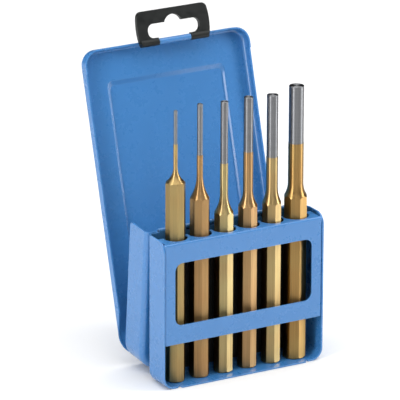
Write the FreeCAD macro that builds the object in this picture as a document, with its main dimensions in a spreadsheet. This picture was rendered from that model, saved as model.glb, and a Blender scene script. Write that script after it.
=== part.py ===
# Set of drive pin punches in a folding sheet steel stand case.
# Units are millimetres. X runs along the row of punches, Y from the front to the back, Z up.
# The origin is on the table, in the middle of the underside of the front tray.
import FreeCAD, Part
import os
from FreeCAD import Placement, Rotation, Vector

doc = FreeCAD.newDocument("PunchCase")
sheet = doc.addObject("Spreadsheet::Sheet", "Dims")

# ---------------------------------------------------------------- driving dimensions
SIZES = [
    # sheet steel and case halves
    ("sheet_gauge", 0.8), ("case_width", 97.6), ("corner_round", 6.6), ("bend_round", 3.0),
    ("tray_depth", 17.6), ("wall_top", 82.0), ("tray_lip_round", 6.0),
    ("shell_front", 1.0), ("shell_depth", 17.4), ("shell_foot_z", 1.7), ("shell_lip_round", 2.0),
    ("shell_corner_round", 11.5),
    # floor tongue at the front of the tray
    ("tongue_half", 38.0), ("tongue_reach", 0.8), ("relief_width", 2.0), ("relief_depth", 1.4),
    # hinges: wire, rolled eyes and their places
    ("wire_radius", 0.8), ("eye_bore", 0.85), ("eye_radius", 1.35), ("eye_gap", 0.4),
    ("fold_axis_y", 0.5), ("fold_axis_z", 82.4), ("fold_eye_end", 42.0),
    ("fold_eye_mid", 26.0), ("fold_eye_centre", 9.0), ("fold_notch_z", 80.6),
    ("lid_axis_y", 19.3), ("lid_axis_z", 0.95), ("lid_eye_end", 30.0),
    ("lid_eye_mid", 18.0), ("lid_eye_centre", 6.0),
    # lid
    ("lid_width", 101.0), ("lid_back", 20.2), ("lid_rim", 6.0), ("lid_foot_z", 2.75),
    ("lid_top_z", 167.55), ("lid_top_round", 8.5), ("lid_foot_round", 12.0), ("lid_fold_round", 2.6),
    ("rim_relief_z", 15.0), ("rim_relief_slope_z", 27.0), ("rim_left_at_foot", 1.6),
    ("boss_half", 35.8), ("boss_top_z", 149.4), ("boss_foot_z", 21.0), ("boss_round", 5.0),
    ("boss_height", 1.3), ("boss_draft", 1.2), ("boss_top_draft", 2.4), ("boss_edge_round", 0.8),
    ("corner_rise", 0.8), ("corner_run", 12.0),
    # hanger and its bar
    ("hanger_x", 4.0), ("hanger_axis_y", 12.2), ("hanger_axis_z", 166.6), ("bar_radius", 1.0),
    ("loop_bore", 1.06), ("loop_radius", 1.65), ("loop_half", 9.6), ("hanger_half", 20.6),
    ("hanger_knuckle", 2.0), ("hanger_gauge", 2.2), ("hanger_rise", 17.2), ("hanger_bow", 1.4),
    ("hanger_corner", 3.2), ("slot_half", 15.8), ("slot_low", 2.2), ("slot_high", 9.9),
    ("slot_bump", 5.7), ("slot_bump_rise", 7.9), ("slot_round", 3.4),
    # tool rack
    ("rack_front", 17.4), ("rack_foot_z", 24.6), ("rack_top_z", 80.6), ("rack_bend", 1.1),
    ("shelf_back", 6.5), ("cheek_back", 9.0), ("window_half", 41.8), ("window_low", 34.7),
    ("window_high", 69.4), ("window_round", 4.5),
    ("row_y", 8.2), ("row_pitch", 14.65), ("seat_radius", 6.5), ("seat_radius_large", 7.2),
    # liner
    ("liner_gauge", 0.8), ("liner_half", 44.0), ("liner_low", 4.0), ("liner_high", 78.0),
    # punches
    ("foot_chamfer", 1.0), ("tip_chamfer", 0.2), ("pin_step", 0.15), ("turning", 0.05),
    ("shoulder_round", 2.5),
]
# point diameter, octagon across flats, whole length, bare point, gold pin, flare, turn of octagon
PUNCHES = [
    (2.0, 10.0, 149.6, 18.3, 12.8, 8.2, 6.0),
    (3.0, 10.0, 150.9, 27.9, 11.2, 12.8, 8.0),
    (4.0, 10.0, 150.0, 33.8, 17.1, 10.4, 15.0),
    (5.0, 10.0, 150.2, 30.0, 21.4, 8.8, 12.0),
    (6.0, 10.0, 149.2, 34.2, 17.0, 9.0, 14.0),
    (8.0, 12.0, 152.0, 31.5, 22.3, 7.6, 15.0),
]
for n, row in enumerate(PUNCHES, start=1):
    for word, size in zip(("point", "flats", "long", "bare", "pin", "flare", "turn"), row):
        SIZES.append((f"{word}_no{n}", size))
# the back half of the base leans with its foot backwards, and the lid is opened from it
SIZES += [("shell_lean", 4.5), ("lid_opening", 20.5)]

for row, (alias, size) in enumerate(SIZES, start=1):
    sheet.set(f"A{row}", alias)
    sheet.set(f"B{row}", str(size))
    sheet.setAlias(f"B{row}", alias)
doc.recompute()
D = {alias: size for alias, size in SIZES}
COUNT = {}


# ---------------------------------------------------------------- small helpers
def name_for(stem):
    COUNT[stem] = COUNT.get(stem, 0) + 1
    return f"{stem}_{COUNT[stem]}"


def bind(obj, **cells):
    """Drives properties of an object by expressions over the sheet's aliases."""
    for prop, text in cells.items():
        for alias in sorted(D, key=len, reverse=True):
            text = replace_word(text, alias)
        obj.setExpression(prop.replace("__", "."), text)
    return obj


def replace_word(text, alias):
    out, at = "", 0
    while True:
        k = text.find(alias, at)
        if k < 0:
            return out + text[at:]
        end = k + len(alias)
        left = text[k - 1] if k else " "
        right = text[end] if end < len(text) else " "
        whole = not (left.isalnum() or left in "_.") and not (right.isalnum() or right == "_")
        out += text[at:k] + ("Dims." + alias if whole else alias)
        at = end


def at(obj, x="0", y="0", z="0"):
    cells = {"Placement__Base__x": x, "Placement__Base__y": y, "Placement__Base__z": z}
    return bind(obj, **{k: v for k, v in cells.items() if v != "0"})


def box(x, y, z, length, width, height):
    obj = doc.addObject("Part::Box", name_for("Block"))
    bind(obj, Length=length, Width=width, Height=height)
    return at(obj, x, y, z)


def rod(x, y, z, radius, length, along="z"):
    """A cylinder that starts at a point and runs along an axis."""
    obj = doc.addObject("Part::Cylinder", name_for("Rod"))
    turns = {"x": Rotation(Vector(0, 1, 0), 90), "y": Rotation(Vector(1, 0, 0), -90)}
    obj.Placement = Placement(Vector(), turns.get(along, Rotation()))
    bind(obj, Radius=radius, Height=length)
    return at(obj, x, y, z)


def join(*parts):
    obj = doc.addObject("Part::MultiFuse", name_for("Join"))
    obj.Shapes = list(parts)
    obj.Refine = True
    return obj


def cut(base, *tools):
    obj = doc.addObject("Part::Cut", name_for("Cut"))
    obj.Base = base
    obj.Tool = tools[0] if len(tools) == 1 else join(*tools)
    obj.Refine = True
    return obj


def common(a, b):
    obj = doc.addObject("Part::Common", name_for("Common"))
    obj.Base, obj.Tool = a, b
    return obj


def near(a, b):
    return abs(a - b) < 1e-4


def rounded(base, radius, test):
    """Rounds the edges of a base whose bounding box passes a test."""
    doc.recompute()
    picks = [i for i, e in enumerate(base.Shape.Edges, start=1) if test(e.BoundBox)]
    obj = doc.addObject("Part::Fillet", name_for("Round"))
    obj.Base = base
    obj.Edges = [(i, radius, radius) for i in picks]
    return obj


def runs(axis, b):
    """Whether an edge's box is long only in the direction of an axis."""
    long = {"x": b.XLength, "y": b.YLength, "z": b.ZLength}
    return long[axis] > 1e-3 and all(v < 1e-4 for k, v in long.items() if k != axis)


def finish(obj, label, colour):
    obj.Label = label
    NODES.append(obj)
    if hasattr(obj, "ViewObject") and obj.ViewObject is not None:
        obj.ViewObject.ShapeColor = colour
    return obj


NODES = []
BLUE, BLACK, STEEL = (0.37, 0.58, 0.82), (0.1, 0.1, 0.1), (0.7, 0.7, 0.7)
THIN = D["sheet_gauge"]


def pan(half, low_y, high_y, low_z, high_z, corner, bend, flat_y, lip=0.0, lip_y=None):
    """A block with rounded lower side corners, and a bend round its flat panel at flat_y."""
    block = box(f"-({half})", low_y, low_z, f"2*({half})", f"({high_y})-({low_y})",
                f"({high_z})-({low_z})")
    doc.recompute()
    floor = block.Shape.BoundBox.ZMin
    top = block.Shape.BoundBox.ZMax
    block = rounded(block, corner, lambda b: runs("y", b) and near(b.ZMin, floor))
    if lip:
        block = rounded(block, lip,
                        lambda b: runs("x", b) and near(b.ZMin, top) and near(b.YMin, lip_y))
    return rounded(block, bend,
                   lambda b: near(b.YMin, flat_y) and near(b.YMax, flat_y)
                   and not (runs("x", b) and near(b.ZMin, top)))


def eyes(zones, y, z, web):
    """Rolled hinge eyes along X, each with the strip of sheet that it is rolled from."""
    made = []
    for low, high in zones:
        length = f"({high})-({low})"
        made.append(rod(low, y, z, "eye_radius", length, "x"))
        made.append(box(low, web[0], web[2], length, f"({web[1]})-({web[0]})",
                        f"({web[3]})-({web[2]})"))
    return made


def notches(zones, y0, y1, z0, z1):
    return [box(f"({a})-eye_gap", y0, z0, f"({b})-({a})+2*eye_gap", f"({y1})-({y0})",
                f"({z1})-({z0})") for a, b in zones]


# ---------------------------------------------------------------- front tray
fold_tray = [("-fold_eye_end", "-fold_eye_mid"), ("-fold_eye_centre", "fold_eye_centre"),
             ("fold_eye_mid", "fold_eye_end")]
fold_shell = [("-fold_eye_mid+eye_gap", "-fold_eye_centre-eye_gap"),
              ("fold_eye_centre+eye_gap", "fold_eye_mid-eye_gap")]
outer = pan("case_width/2", "-tray_depth", "0", "0", "wall_top", D["corner_round"],
            D["bend_round"], 0.0, D["tray_lip_round"], -D["tray_depth"])
inner = pan("case_width/2-sheet_gauge", "-tray_depth-5", "-sheet_gauge", "sheet_gauge",
            "wall_top+9", D["corner_round"] - THIN, D["bend_round"] - THIN, -THIN)
tray = cut(outer, inner)
tongue = box("-tongue_half", "-tray_depth-tongue_reach", "0", "2*tongue_half",
             "tongue_reach+0.5", "sheet_gauge")
tray = join(tray, tongue, *eyes(fold_tray, "fold_axis_y", "fold_axis_z",
                                ("-sheet_gauge", "0", "fold_notch_z", "fold_axis_z")))
bore = rod("-fold_eye_end-1", "fold_axis_y", "fold_axis_z", "eye_bore", "2*fold_eye_end+2", "x")
reliefs = [box(x, "-tray_depth-1", "-1", "relief_width", "relief_depth+1", "3")
           for x in ("-tongue_half-relief_width", "tongue_half")]
gaps = notches([(a, b) for a, b in fold_shell], "-3", "sheet_gauge", "fold_notch_z",
               "fold_axis_z+3")
tray = cut(tray, bore, *reliefs, *gaps)
finish(tray, "upper_tray", BLUE)

# ---------------------------------------------------------------- tool rack
hood = box("-(case_width/2-sheet_gauge)", "-rack_front", "rack_foot_z",
           "case_width-2*sheet_gauge", "rack_front-shelf_back", "rack_top_z-rack_foot_z")
hood = rounded(hood, D["rack_bend"],
               lambda b: near(b.YMin, -D["rack_front"]) and near(b.YMax, -D["rack_front"])
               and not (runs("x", b) and near(b.ZMin, D["rack_foot_z"])))
hollow = box("-(case_width/2-2*sheet_gauge)", "-rack_front+sheet_gauge", "rack_foot_z-5",
             "case_width-4*sheet_gauge", "rack_front", "rack_top_z-sheet_gauge-rack_foot_z+5")
hollow = rounded(hollow, D["rack_bend"] - THIN,
                 lambda b: near(b.YMin, THIN - D["rack_front"])
                 and near(b.YMax, THIN - D["rack_front"])
                 and not (runs("x", b) and near(b.ZMin, D["rack_foot_z"] - 5)))
window = box("-window_half", "-rack_front-2", "window_low", "2*window_half", "6",
             "window_high-window_low")
window = rounded(window, D["window_round"], lambda b: runs("y", b))
trims = [window]
for side in ("-", ""):
    # cheeks are shorter than the shelf, and a slit frees them from it
    x = f"{side}(case_width/2-sheet_gauge)-1.2"
    trims.append(box(x, "-cheek_back", "rack_foot_z-1", "2.4", "6", "rack_top_z"))
    trims.append(box(x, "-rack_front+rack_bend+0.4", "rack_top_z-rack_bend-1.4", "2.4", "14", "6"))
for n, row in enumerate(PUNCHES):
    large = row[1] > 11
    trims.append(rod(f"({n}-2.5)*row_pitch", "-row_y", "rack_top_z-5",
                     "seat_radius_large" if large else "seat_radius", "8"))
rack = cut(cut(hood, hollow), *trims)
finish(rack, "tool_rack", BLUE)

# ---------------------------------------------------------------- liner and fold wire
liner = box("-liner_half", "-sheet_gauge-liner_gauge", "liner_low", "2*liner_half",
            "liner_gauge", "liner_high-liner_low")
finish(liner, "back_liner", BLACK)
fold_wire = rod("-fold_eye_end", "fold_axis_y", "fold_axis_z", "wire_radius",
                "2*fold_eye_end", "x")
finish(fold_wire, "fold_hinge_wire", STEEL)

# ---------------------------------------------------------------- back half of the base
lid_shell = [("-lid_eye_end", "-lid_eye_mid"), ("-lid_eye_centre", "lid_eye_centre"),
             ("lid_eye_mid", "lid_eye_end")]
lid_lid = [("-lid_eye_mid+eye_gap", "-lid_eye_centre-eye_gap"),
           ("lid_eye_centre+eye_gap", "lid_eye_mid-eye_gap")]
back = D["shell_front"] + D["shell_depth"]
outer = pan("case_width/2", "shell_front", "shell_front+shell_depth", "shell_foot_z", "wall_top",
            D["shell_corner_round"], D["bend_round"], D["shell_front"], D["shell_lip_round"], back)
inner = pan("case_width/2-sheet_gauge", "shell_front+sheet_gauge", "shell_front+shell_depth+5",
            "shell_foot_z+sheet_gauge", "wall_top+9", D["shell_corner_round"] - THIN,
            D["bend_round"] - THIN, D["shell_front"] + THIN)
shell = cut(outer, inner)
shell = join(shell, *eyes(fold_shell, "fold_axis_y", "fold_axis_z",
                          ("shell_front", "shell_front+sheet_gauge", "fold_notch_z",
                           "fold_axis_z")),
             *eyes(lid_shell, "lid_axis_y", "lid_axis_z",
                   ("shell_front+shell_depth-1", "lid_axis_y", "shell_foot_z",
                    "shell_foot_z+sheet_gauge")))
bores = [rod("-fold_eye_end-1", "fold_axis_y", "fold_axis_z", "eye_bore",
             "2*fold_eye_end+2", "x"),
         rod("-fold_eye_end-1", "lid_axis_y", "lid_axis_z", "eye_bore",
             "2*fold_eye_end+2", "x")]
gaps = notches(fold_tray, "-3", "shell_front+2", "fold_notch_z", "fold_axis_z+3")
gaps += notches(lid_lid, "lid_axis_y-eye_radius-eye_gap", "lid_axis_y+2", "-3", "4")
shell = cut(shell, *bores, *gaps)
finish(shell, "lower_shell", BLUE)
lid_wire = rod("-lid_eye_end", "lid_axis_y", "lid_axis_z", "wire_radius", "2*lid_eye_end", "x")
finish(lid_wire, "lid_hinge_wire", STEEL)


# ---------------------------------------------------------------- lid
def lid_block(half, front, rear, foot, top, shrink, rounding):
    block = box(f"-({half})", front, foot, f"2*({half})", f"({rear})-({front})",
                f"({top})-({foot})")
    doc.recompute()
    b0 = block.Shape.BoundBox
    block = rounded(block, D["lid_foot_round"] - shrink,
                    lambda b: runs("y", b) and near(b.ZMin, b0.ZMin))
    block = rounded(block, D["lid_top_round"] - shrink,
                    lambda b: runs("y", b) and near(b.ZMax, b0.ZMax))
    return rounded(block, rounding, lambda b: near(b.YMin, b0.YMax))


def frustum(y_big, y_small, grow):
    """The drafted step of the pressed field in the lid's panel."""
    obj = doc.addObject("Part::Wedge", name_for("Field"))
    bind(obj, Xmin=f"-(boss_half+{grow})", Xmax=f"boss_half+{grow}",
         Zmin=f"boss_foot_z-{grow}", Zmax=f"boss_top_z+{grow}",
         X2min=f"-(boss_half+{grow})+boss_draft", X2max=f"boss_half+{grow}-boss_draft",
         Z2min=f"boss_foot_z-{grow}+boss_draft", Z2max=f"boss_top_z+{grow}-boss_top_draft",
         Ymin=y_big, Ymax=y_small)
    doc.recompute()
    b0 = obj.Shape.BoundBox
    return rounded(obj, D["boss_round"],
                   lambda b: near(b.YMin, b0.YMin) and near(b.YMax, b0.YMax))


outer = lid_block("lid_width/2", "lid_back-lid_rim", "lid_back", "lid_foot_z", "lid_top_z", 0.0,
                  D["lid_fold_round"])
inner = lid_block("lid_width/2-sheet_gauge", "lid_back-lid_rim-3", "lid_back-sheet_gauge",
                  "lid_foot_z+sheet_gauge", "lid_top_z-sheet_gauge", THIN,
                  D["lid_fold_round"] - THIN)
lid = cut(join(outer, frustum("lid_back", "lid_back+boss_height", "0.4")), inner,
          frustum("lid_back-sheet_gauge", "lid_back-sheet_gauge+boss_height", "0"))
edge_planes = [D["lid_back"] + k for k in (-THIN, 0.0, D["boss_height"] - THIN, D["boss_height"])]
lid = rounded(lid, D["boss_edge_round"],
              lambda b: any(near(b.YMin, y) and near(b.YMax, y) for y in edge_planes)
              and b.XMin > -D["boss_half"] - 1 and b.XMax < D["boss_half"] + 1
              and b.ZMin > D["boss_foot_z"] - 1 and b.ZMax < D["boss_top_z"] + 1)
# the drawn corners of the rim stand a little proud of its straight runs
proud = [box(f"-({half})", "lid_back-lid_rim-corner_rise", "lid_top_z-30", f"2*({half})",
             "corner_rise+1", f"30-({low})")
         for half, low in (("lid_width/2", "0"), ("lid_width/2-sheet_gauge", "sheet_gauge"))]
doc.recompute()
ring = [rounded(b, D["lid_top_round"] - k * THIN,
                lambda e, top=b.Shape.BoundBox.ZMax: runs("y", e) and near(e.ZMin, top))
        for k, b in enumerate(proud)]
ends = [box(x, "lid_back-lid_rim-3", "lid_top_z-corner_run", "corner_run", "6", "corner_run+1")
        for x in ("-lid_width/2-1", "lid_width/2+1-corner_run")]
lid = join(lid, common(cut(*ring), join(*ends)))
# the rim is cut back beside the hinge, down to a low flange
low_cut = box("-lid_width", "lid_back-lid_rim-5", "-5", "2*lid_width",
              "lid_rim+5-rim_left_at_foot", "rim_relief_z+5")
ramp = doc.addObject("Part::Wedge", name_for("Ramp"))
bind(ramp, Xmin="-lid_width", Xmax="lid_width", X2min="-lid_width", X2max="lid_width",
     Ymin="rim_relief_z-0.01", Ymax="rim_relief_slope_z", Zmin="0",
     Zmax="lid_rim+5-rim_left_at_foot", Z2min="0", Z2max="5")
ramp.Placement = Placement(Vector(), Rotation(Vector(1, 0, 0), 90))
# after the turn the wedge's Y is Z, and its Z is -Y, so it is mirrored into place
ramp_flip = doc.addObject("Part::Mirroring", name_for("Flip"))
ramp_flip.Source = ramp
ramp_flip.Normal = Vector(0, 1, 0)
ramp_flip.Placement = Placement(Vector(0, D["lid_back"] - D["lid_rim"] - 5, 0), Rotation())
lid = cut(lid, low_cut, ramp_flip)
loop = rod("hanger_x-loop_half", "hanger_axis_y", "hanger_axis_z", "loop_radius",
           "2*loop_half", "x")
web = box("hanger_x-loop_half", "hanger_axis_y", "lid_top_z-sheet_gauge", "2*loop_half",
          "lid_back-lid_rim-hanger_axis_y+1", "sheet_gauge")
lid = join(lid, loop, web, *eyes(lid_lid, "lid_axis_y", "lid_axis_z",
                                 ("lid_back-sheet_gauge", "lid_back", "lid_axis_z",
                                  "lid_foot_z+2.8")))
lid = cut(lid, rod("-lid_eye_end-1", "lid_axis_y", "lid_axis_z", "eye_bore",
                   "2*lid_eye_end+2", "x"),
          rod("hanger_x-loop_half-1", "hanger_axis_y", "hanger_axis_z", "loop_bore",
              "2*loop_half+2", "x"))
finish(lid, "lid", BLUE)

# ---------------------------------------------------------------- plastic hanger
plate = box("hanger_x-hanger_half-hanger_bow", "hanger_axis_y-hanger_gauge/2",
            "hanger_axis_z", "2*hanger_half+2*hanger_bow", "hanger_gauge", "hanger_rise")
chord = D["hanger_rise"] / 2 + 1.5
bow_radius = (chord ** 2 + D["hanger_bow"] ** 2) / (2 * D["hanger_bow"])
for side in ("-", "+"):
    bow = rod(f"hanger_x{side}(hanger_half+hanger_bow-{bow_radius:.4f})", "hanger_axis_y-3",
              "hanger_axis_z+hanger_rise/2-1", f"{bow_radius:.4f}", "6", "y")
    plate = common(plate, bow)
plate = rounded(plate, D["hanger_corner"],
                lambda b: runs("y", b) and near(b.ZMax, D["hanger_axis_z"] + D["hanger_rise"]))
slot = box("hanger_x-slot_half", "hanger_axis_y-3", "hanger_axis_z+slot_low", "2*slot_half", "6",
           "slot_high-slot_low")
slot = rounded(slot, D["slot_round"], lambda b: runs("y", b))
bump = rod("hanger_x", "hanger_axis_y-3", "hanger_axis_z+slot_bump_rise", "slot_bump", "6", "y")
bay = box("hanger_x-loop_half-0.3", "hanger_axis_y-4", "hanger_axis_z-4", "2*loop_half+0.6", "8",
          "slot_low+5")
knuckle = rod("hanger_x-hanger_half", "hanger_axis_y", "hanger_axis_z", "hanger_knuckle",
              "2*hanger_half", "x")
bar = rod("hanger_x-loop_half-2", "hanger_axis_y", "hanger_axis_z", "bar_radius",
          "2*loop_half+4", "x")
hanger = join(cut(join(plate, knuckle), slot, bump, bay), bar)
finish(hanger, "hanger", BLACK)


# ---------------------------------------------------------------- punches
def punch(n, x):
    """A bar turned to a hollow flare with a rounded shoulder, which an octagon trims."""
    point, flats, _, _, _, flare, turn = PUNCHES[n - 1]
    corner = flats / 2 / 0.9238795325 + D["turning"]
    spread = corner - point / 2 - D["pin_step"]
    hollow_radius = (spread ** 2 + flare ** 2) / (2 * spread)
    where = {"x": x, "y": "-row_y"}
    shoulder = f"long_no{n}-bare_no{n}-pin_no{n}"
    bar = doc.addObject("Part::Prism", name_for("Octagon"))
    bar.Polygon = 8
    bar.Placement = Placement(Vector(), Rotation(Vector(0, 0, 1), 22.5 + turn))
    bind(bar, Circumradius=f"flats_no{n}/2/cos(22.5)", Height=shoulder)
    at(bar, z="sheet_gauge", **where)
    ring = doc.addObject("Part::Torus", name_for("Flare"))
    bind(ring, Radius1=f"point_no{n}/2+pin_step+{hollow_radius:.4f}",
         Radius2=f"{hollow_radius:.4f}")
    at(ring, z=f"sheet_gauge+{shoulder}", **where)
    turned = doc.addObject("Part::Cone", name_for("Foot"))
    bind(turned, Radius1=f"flats_no{n}/2/cos(22.5)-foot_chamfer",
         Radius2=f"flats_no{n}/2/cos(22.5)+150-foot_chamfer", Height="150")
    at(turned, z="sheet_gauge", **where)
    blank = cut(rod(x, "-row_y", "sheet_gauge-1", f"flats_no{n}/2/cos(22.5)+turning",
                    shoulder + "+1"), ring)
    blank = rounded(blank, D["shoulder_round"],
                    lambda b: near(b.ZMin, b.ZMax) and b.XLength > 2 * corner - 0.01
                    and b.ZMin > THIN)
    blank = common(common(bar, turned), blank)
    pin = rod(x, "-row_y", f"sheet_gauge+{shoulder}-0.4", f"point_no{n}/2+pin_step",
              f"pin_no{n}+0.4")
    bare = rod(x, "-row_y", f"sheet_gauge+long_no{n}-bare_no{n}-0.4", f"point_no{n}/2",
               f"bare_no{n}+0.4-tip_chamfer")
    tip = doc.addObject("Part::Cone", name_for("Tip"))
    bind(tip, Radius1=f"point_no{n}/2", Radius2=f"point_no{n}/2-tip_chamfer",
         Height="tip_chamfer")
    at(tip, z=f"sheet_gauge+long_no{n}-tip_chamfer", **where)
    return join(blank, pin, bare, tip)


for n, row in enumerate(PUNCHES, start=1):
    finish(punch(n, f"({n}-3.5)*row_pitch"), f"punch_{row[0]:.0f}mm", STEEL)

doc.recompute()

# ---------------------------------------------------------------- stand pose of the moving half
# everything above is laid out from the back face of the tray, with the case closed up
fold_at = Vector(0, D["fold_axis_y"], D["fold_axis_z"])
lid_at = Vector(0, D["lid_axis_y"], D["lid_axis_z"])
lean = Placement(Vector(), Rotation(Vector(1, 0, 0), D["shell_lean"]), fold_at)
swing = Placement(Vector(), Rotation(Vector(1, 0, 0), -D["lid_opening"]), lid_at)
to_tray_middle = Placement(Vector(0, D["tray_depth"] / 2, 0), Rotation())
poses = {"lower_shell": lean, "lid_hinge_wire": lean, "lid": lean * swing, "hanger": lean * swing}

# ---------------------------------------------------------------- check and write
for obj in doc.Objects:
    bad = [s for s in obj.State if s in ("Invalid", "Error")]
    if bad:
        raise RuntimeError(f"{obj.Name} is {bad}")
os.makedirs("parts", exist_ok=True)
for obj in NODES:
    shape = obj.Shape.copy()
    pose = to_tray_middle * poses.get(obj.Label, Placement())
    shape.Placement = pose * shape.Placement
    if shape.isNull() or not shape.isValid() or len(shape.Solids) != 1:
        raise RuntimeError(f"{obj.Label} is not one valid solid: {len(shape.Solids)}")
    shape.Solids[0].exportStep(f"parts/{obj.Label}.step")
    b = shape.BoundBox
    print(f"{obj.Label}: {shape.Volume:.1f} mm3, x {b.XMin:.2f} {b.XMax:.2f}, "
          f"y {b.YMin:.2f} {b.YMax:.2f}, z {b.ZMin:.2f} {b.ZMax:.2f}")
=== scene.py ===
# Looks for the set of drive pin punches in a folding sheet steel stand case.
import math
import bmesh
import bpy
from mathutils import Matrix, Vector


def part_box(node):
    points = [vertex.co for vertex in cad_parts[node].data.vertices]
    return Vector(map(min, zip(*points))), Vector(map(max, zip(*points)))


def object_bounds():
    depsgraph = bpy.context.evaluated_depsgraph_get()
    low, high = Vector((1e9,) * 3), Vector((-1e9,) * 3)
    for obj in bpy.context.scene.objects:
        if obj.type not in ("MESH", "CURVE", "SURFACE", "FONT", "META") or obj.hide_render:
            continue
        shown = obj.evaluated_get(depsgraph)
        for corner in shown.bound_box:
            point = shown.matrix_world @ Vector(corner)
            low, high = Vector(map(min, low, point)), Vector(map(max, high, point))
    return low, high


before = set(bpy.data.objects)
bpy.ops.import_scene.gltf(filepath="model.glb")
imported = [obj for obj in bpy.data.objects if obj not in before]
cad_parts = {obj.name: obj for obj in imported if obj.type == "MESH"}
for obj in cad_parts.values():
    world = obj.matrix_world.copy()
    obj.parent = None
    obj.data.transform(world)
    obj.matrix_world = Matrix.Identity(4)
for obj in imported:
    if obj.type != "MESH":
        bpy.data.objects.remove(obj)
CAD_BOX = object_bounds()
MM = 0.001


# ------------------------------------------------------------------ materials
def linear(rgb):
    """sRGB 0..255 to linear RGBA."""
    out = []
    for c in rgb:
        c = c / 255.0
        out.append(c / 12.92 if c <= 0.04045 else ((c + 0.055) / 1.055) ** 2.4)
    return (*out, 1.0)


def scaled(rgb, factor):
    """A lighter or darker copy of an sRGB colour."""
    return linear(tuple(min(255, factor * c) for c in rgb))


class Nodes:
    """Short calls for building one material's node tree."""

    # sockets of the colour Mix node
    MIX_FACTOR, MIX_A, MIX_B, MIX_RESULT = 0, 6, 7, 2

    def __init__(self, name):
        self.mat = bpy.data.materials.new(name)
        self.mat.use_nodes = True
        self.tree = self.mat.node_tree
        self.bsdf = self.tree.nodes["Principled BSDF"]

    def add(self, kind, inputs=None, **props):
        node = self.tree.nodes.new(kind)
        for key, value in props.items():
            setattr(node, key, value)
        for key, value in (inputs or {}).items():
            self.feed(node, key, value)
        return node

    def feed(self, node, key, value):
        socket = node.inputs[key]
        if isinstance(value, bpy.types.NodeSocket):
            self.tree.links.new(value, socket)
        else:
            socket.default_value = value

    def place(self):
        return self.add("ShaderNodeTexCoord").outputs["Object"]

    def noise(self, scale, detail=2.0, vector=None, rough=0.5):
        node = self.add("ShaderNodeTexNoise", {"Scale": scale, "Detail": detail,
                                               "Roughness": rough,
                                               "Vector": vector or self.place()})
        return node.outputs["Fac"]

    def span(self, value, low, high, to_low=0.0, to_high=1.0):
        node = self.add("ShaderNodeMapRange", {"Value": value, "From Min": low, "From Max": high,
                                               "To Min": to_low, "To Max": to_high})
        return node.outputs["Result"]

    def mix(self, factor, a, b):
        node = self.add("ShaderNodeMix", {self.MIX_FACTOR: factor, self.MIX_A: a, self.MIX_B: b},
                        data_type="RGBA")
        return node.outputs[self.MIX_RESULT]

    def times(self, a, b):
        return self.add("ShaderNodeMath", {0: a, 1: b}, operation="MULTIPLY").outputs[0]

    def edges(self, radius):
        """1 on the object's sharp edges, 0 on its flats."""
        soft = self.add("ShaderNodeBevel", {"Radius": radius}, samples=4)
        flat = self.add("ShaderNodeNewGeometry")
        dot = self.add("ShaderNodeVectorMath",
                       {0: soft.outputs["Normal"], 1: flat.outputs["Normal"]},
                       operation="DOT_PRODUCT")
        return self.span(dot.outputs["Value"], 0.985, 0.85)

    def bump(self, height, strength, distance):
        node = self.add("ShaderNodeBump", {"Height": height, "Strength": strength,
                                           "Distance": distance})
        self.set(Normal=node.outputs["Normal"])

    def set(self, **inputs):
        for key, value in inputs.items():
            self.feed(self.bsdf, key.replace("_", " "), value)


def case_paint():
    """Light blue gloss paint on sheet steel: faint cloudiness, and a painted highlight on the
    edges, patchy like thin paint.
    """
    m = Nodes("case_paint")
    cloud = m.span(m.noise(30.0, 9.0, rough=0.72), 0.2, 0.8)
    blue = m.mix(cloud, linear((55, 115, 174)), linear((59, 119, 179)))
    # painted highlight: lighter blue along sheared and folded edges, broken into patches as
    # thin, worn paint would be
    patchy = m.span(m.noise(260.0, 3.0), 0.38, 0.62, 0.25, 1.0)
    edge_wear_and_highlight = m.times(m.times(m.edges(0.6 * MM), patchy), 0.55)
    m.set(Base_Color=m.mix(edge_wear_and_highlight, blue, linear((120, 172, 224))), Metallic=0.0,
          Specular_IOR_Level=0.75,
          Roughness=m.span(m.noise(90.0, 8.0, rough=0.7), 0.2, 0.8, 0.26, 0.29))
    return m.mat


# near-black rubber for the liner sheet on the tray's rear wall; the dark sheet is partly a
# painted shade for the deep shadow behind the punches
def liner_rubber():
    m = Nodes("liner_rubber")
    dull = m.mix(m.noise(160.0, 4.0), linear((20, 19, 18)), linear((30, 29, 27)))
    m.set(Base_Color=dull, Roughness=0.9)
    m.bump(m.noise(1500.0, 3.0), 0.25, 0.2 * MM)
    return m.mat


def hinge_steel():
    m = Nodes("hinge_steel")
    m.set(Base_Color=linear((168, 168, 170)), Metallic=1.0,
          Roughness=m.span(m.noise(400.0), 0.3, 0.7, 0.28, 0.42))
    return m.mat


def hanger_plastic():
    m = Nodes("hanger_plastic")
    black = m.mix(m.noise(60.0), linear((14, 16, 16)), linear((22, 25, 24)))
    # lighter grey on the sharp edges
    lighter_edges = m.times(m.edges(0.5 * MM), 0.5)
    m.set(Base_Color=m.mix(lighter_edges, black, linear((60, 64, 63))), Specular_IOR_Level=0.3,
          Roughness=m.span(m.noise(300.0, 3.0), 0.3, 0.7, 0.34, 0.48))
    m.bump(m.noise(1800.0, 2.0), 0.12, 0.1 * MM)
    return m.mat


# length of the bare point in mm, and the lacquer's tone
PUNCHES = {
    "punch_2mm": (18.3, (182, 152, 100)),
    "punch_3mm": (27.9, (176, 136, 90)),
    "punch_4mm": (33.8, (182, 158, 110)),
    "punch_5mm": (30.0, (178, 140, 96)),
    "punch_6mm": (34.2, (180, 152, 104)),
    "punch_8mm": (31.5, (168, 132, 80)),
}
# the lacquer ends on the point over this much height, in mm
LACQUER_EDGE = 0.4
# noise cells per metre in x, y and z
DRAWN_ALONG = (1300.0, 1300.0, 26.0)
GROUND_AROUND = (60.0, 60.0, 5200.0)
BARE_ROUGHNESS = (0.46, 0.46, 0.46, 1.0)


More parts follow.
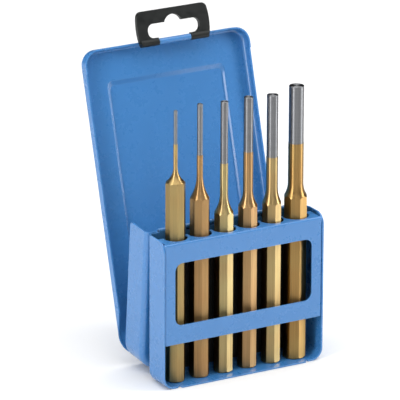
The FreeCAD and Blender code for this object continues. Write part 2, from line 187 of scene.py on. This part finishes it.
def punch_steel(node, bare, tone):
    """Gold lacquer on the shank, bare ground steel on the point, by height along the punch."""
    m = Nodes(node + "_steel")
    place = m.place()
    height = m.add("ShaderNodeSeparateXYZ", {"Vector": place}).outputs["Z"]
    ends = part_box(node)[1].z - bare * MM
    half_edge = LACQUER_EDGE / 2 * MM
    is_bare = m.span(height, ends - half_edge, ends + half_edge)
    along = m.add("ShaderNodeMapping", {"Vector": place, "Scale": DRAWN_ALONG})
    around = m.add("ShaderNodeMapping", {"Vector": place, "Scale": GROUND_AROUND})
    grain = m.noise(1.0, 3.0, along.outputs["Vector"])
    rings = m.noise(1.0, 2.0, around.outputs["Vector"])
    gold = m.mix(m.span(grain, 0.3, 0.7), scaled(tone, 0.82), linear(tone))
    # the lacquer's tint drifts along the bar, as a thin interference film does
    drift = m.times(m.span(m.noise(45.0, 2.0), 0.4, 0.65), 0.6)
    gold = m.mix(drift, gold, linear((0.93 * tone[0], tone[1], 1.02 * tone[2])))
    # painted highlight: lighter gold on the sharp edges of the facets and flares
    gold = m.mix(m.times(m.edges(0.4 * MM), 0.4), gold, scaled(tone, 1.18))
    steel = m.mix(m.span(rings, 0.3, 0.7), linear((122, 123, 126)), linear((132, 133, 135)))
    tangent = m.add("ShaderNodeTangent", direction_type="RADIAL", axis="Z")
    gold_roughness = m.span(grain, 0.3, 0.7, 0.34, 0.42)
    m.set(Base_Color=m.mix(is_bare, gold, steel), Metallic=1.0, Anisotropic=0.88,
          Anisotropic_Rotation=0.25, Tangent=tangent.outputs["Tangent"],
          Roughness=m.mix(is_bare, gold_roughness, BARE_ROUGHNESS))
    m.bump(m.mix(is_bare, grain, rings), 0.1, 0.04 * MM)
    return m.mat


PAINT, WIRE = case_paint(), hinge_steel()
DRESS = {
    "upper_tray": PAINT, "tool_rack": PAINT, "lower_shell": PAINT, "lid": PAINT,
    "fold_hinge_wire": WIRE, "lid_hinge_wire": WIRE,
    "back_liner": liner_rubber(), "hanger": hanger_plastic(),
}
for node, (bare, tone) in PUNCHES.items():
    DRESS[node] = punch_steel(node, bare, tone)
for node, mat in DRESS.items():
    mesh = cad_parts[node].data
    mesh.materials.clear()
    mesh.materials.append(mat)


# ------------------------------------------------------------------ stage, light and camera
def put(name, data):
    """A new object in the scene."""
    obj = bpy.data.objects.new(name, data)
    bpy.context.scene.collection.objects.link(obj)
    return obj


def outward(azimuth, elevation):
    """Direction from the case, in degrees from the front and from the horizon."""
    a, e = math.radians(azimuth), math.radians(elevation)
    return Vector((math.sin(a) * math.cos(e), -math.cos(a) * math.cos(e), math.sin(e)))


FLOOR_SIZE = 3.0
FLOOR_GAP = 0.2 * MM


def floor():
    mesh = bpy.data.meshes.new("floor")
    bm = bmesh.new()
    bmesh.ops.create_grid(bm, x_segments=2, y_segments=2, size=FLOOR_SIZE)
    bm.to_mesh(mesh)
    bm.free()
    obj = put("floor", mesh)
    obj.location = (0, 0, CAD_BOX[0][2] - FLOOR_GAP)
    m = Nodes("floor_white")
    m.set(Base_Color=(0.80, 0.80, 0.80, 1.0), Roughness=0.8)
    mesh.materials.append(m.mat)


LIT_POINT = Vector((0.0, 0.02, 0.08))
# name, azimuth, elevation, distance, width and height in metres, watts
STRIPS = [
    ("left strip", -74, 16, 1.0, (0.28, 0.9), 7.6),
    ("right strip", 60, 16, 1.0, (0.28, 0.9), 7.6),
    ("front strip", -20, 15, 1.3, (0.12, 0.4), 0.8),
]
SKY_STRENGTH, SKY_SPREAD = 3.8, 90
# the dome's strength at and below a low height, and from a high one up
DOME_LOW, DOME_HIGH = (0.1, 0.16), (0.7, 0.6)


def strip(name, azimuth, elevation, distance, size, watts):
    light = bpy.data.lights.new(name, "AREA")
    light.shape = "RECTANGLE"
    light.size, light.size_y = size
    light.energy = watts
    obj = put(name, light)
    obj.location = LIT_POINT + distance * outward(azimuth, elevation)
    obj.rotation_euler = (LIT_POINT - obj.location).to_track_quat("-Z", "Y").to_euler()


def sky():
    """A very wide light from straight above."""
    light = bpy.data.lights.new("sky", "SUN")
    light.energy = SKY_STRENGTH
    light.angle = math.radians(SKY_SPREAD)
    put("sky", light)


def dome():
    """Soft surroundings, darker round the horizon than overhead."""
    world = bpy.data.worlds.new("studio")
    world.use_nodes = True
    tree = world.node_tree
    place = tree.nodes.new("ShaderNodeTexCoord")
    xyz = tree.nodes.new("ShaderNodeSeparateXYZ")
    span = tree.nodes.new("ShaderNodeMapRange")
    span.interpolation_type = "SMOOTHSTEP"
    for key, value in (("From Min", DOME_LOW[0]), ("From Max", DOME_HIGH[0]),
                       ("To Min", DOME_LOW[1]), ("To Max", DOME_HIGH[1])):
        span.inputs[key].default_value = value
    tree.links.new(place.outputs["Generated"], xyz.inputs["Vector"])
    tree.links.new(xyz.outputs["Z"], span.inputs["Value"])
    tree.links.new(span.outputs["Result"], tree.nodes["Background"].inputs["Strength"])
    bpy.context.scene.world = world


# a long lens, to the left of the case and above it; the distance and the target are in mm
CAMERA = {"focal_px": 4642.3, "azimuth": -29.99, "elevation": 18.83, "roll": 0.21,
          "distance": 2439.15, "target": (-17.94, 7.3, 96.2)}
PICTURE_PX = 400.0
SENSOR_MM = 36.0
CLIP_END = 100.0


def camera():
    data = bpy.data.cameras.new("camera")
    obj = put("camera", data)
    out = outward(CAMERA["azimuth"], CAMERA["elevation"])
    spot = Vector(CAMERA["target"]) * MM + out * CAMERA["distance"] * MM
    right = (-out).cross(Vector((0, 0, 1))).normalized()
    up = right.cross(-out)
    roll = math.radians(CAMERA["roll"])
    right, up = (right * math.cos(roll) + up * math.sin(roll),
                 up * math.cos(roll) - right * math.sin(roll))
    turn = Matrix((right, up, out)).transposed()
    obj.matrix_world = Matrix.Translation(spot) @ turn.to_4x4()
    data.sensor_fit = "HORIZONTAL"
    data.sensor_width = SENSOR_MM
    data.lens = CAMERA["focal_px"] / PICTURE_PX * SENSOR_MM
    data.clip_end = CLIP_END
    bpy.context.scene.camera = obj


floor()
for row in STRIPS:
    strip(*row)
sky()
dome()
camera()
bpy.context.scene.view_settings.view_transform = "Standard"
